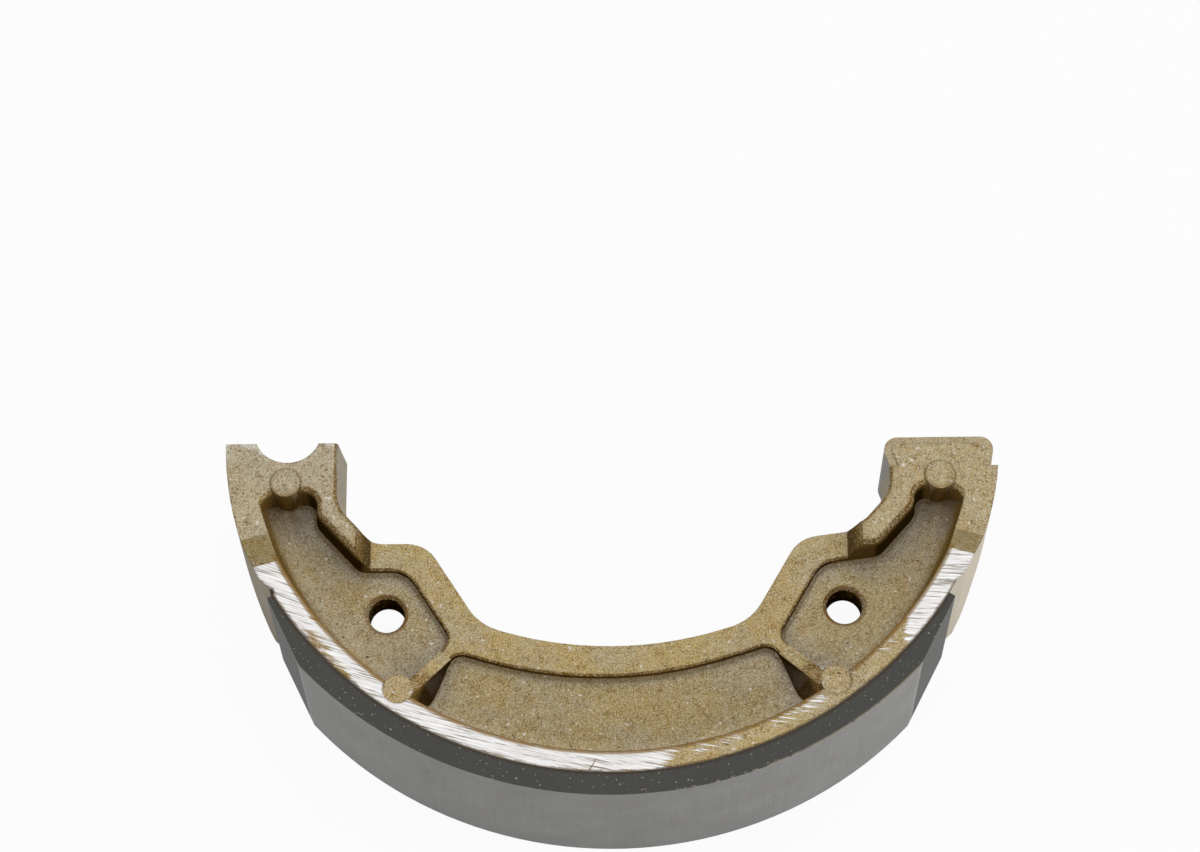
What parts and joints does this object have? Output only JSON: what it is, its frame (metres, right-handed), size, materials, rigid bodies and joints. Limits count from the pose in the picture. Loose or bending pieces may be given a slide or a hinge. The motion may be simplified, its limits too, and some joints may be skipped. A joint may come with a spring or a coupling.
{
  "type": "brake shoe",
  "caption": "Cast drum brake shoe with a bonded lining, a seat for the anchor pin at one end, a steel wear plate for the cam at the other and holes for spring hooks.",
  "frame": {"origin": "on the drum's axis, level with the side that the shoe lies on", "axes": "+Z along the drum's axis, +X towards the cam end, -Y towards the middle of the lining"},
  "size_m": [0.122, 0.0603, 0.028],
  "materials": {
    "cast_aluminium": "sand-textured casting under a thin golden brown varnish, bright where the rim's side is ground",
    "friction_material": "dark grey moulded friction material, ground on its working face",
    "wear_plate_steel": "dull bent steel sheet under the same varnish"
  },
  "bodies": {
    "root": {"shoe_casting": "cast_aluminium", "friction_lining": "friction_material", "cam_wear_plate": "wear_plate_steel"}
  },
  "joints": []
}
